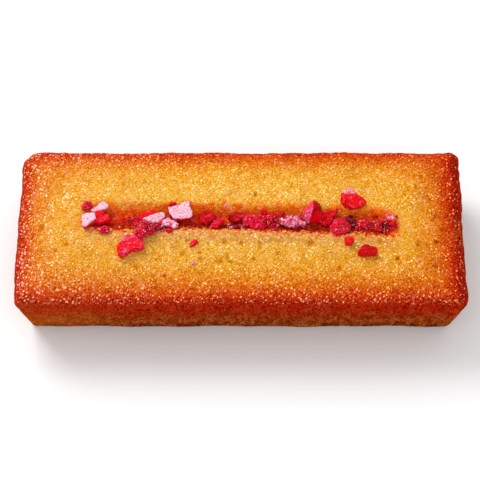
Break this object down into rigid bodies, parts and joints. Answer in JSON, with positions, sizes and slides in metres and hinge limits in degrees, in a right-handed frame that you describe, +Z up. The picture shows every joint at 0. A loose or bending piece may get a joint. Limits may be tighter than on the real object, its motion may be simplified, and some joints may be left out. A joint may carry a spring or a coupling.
{
  "type": "financier cake",
  "caption": "Small rectangular almond cake baked in a flared tin, with a browned rim and a shallow groove of crumbled red berries along its top.",
  "frame": {"origin": "middle of the flat base", "axes": "+X along the bar, to the right in the picture; +Y to the back; +Z up through the crowned top"},
  "size_m": [0.09, 0.0366, 0.0183],
  "materials": {
    "cake_crust": "baked, fine-grained, slightly buttery",
    "berry_flesh": "matt, dry and porous",
    "berry_skin": "satin, dry and finely pitted",
    "berry_drupelet": "rough, dry and beaded",
    "berry_seed": "dark and dull"
  },
  "bodies": {
    "root": {"financier": "cake_crust"}
  },
  "joints": []
}
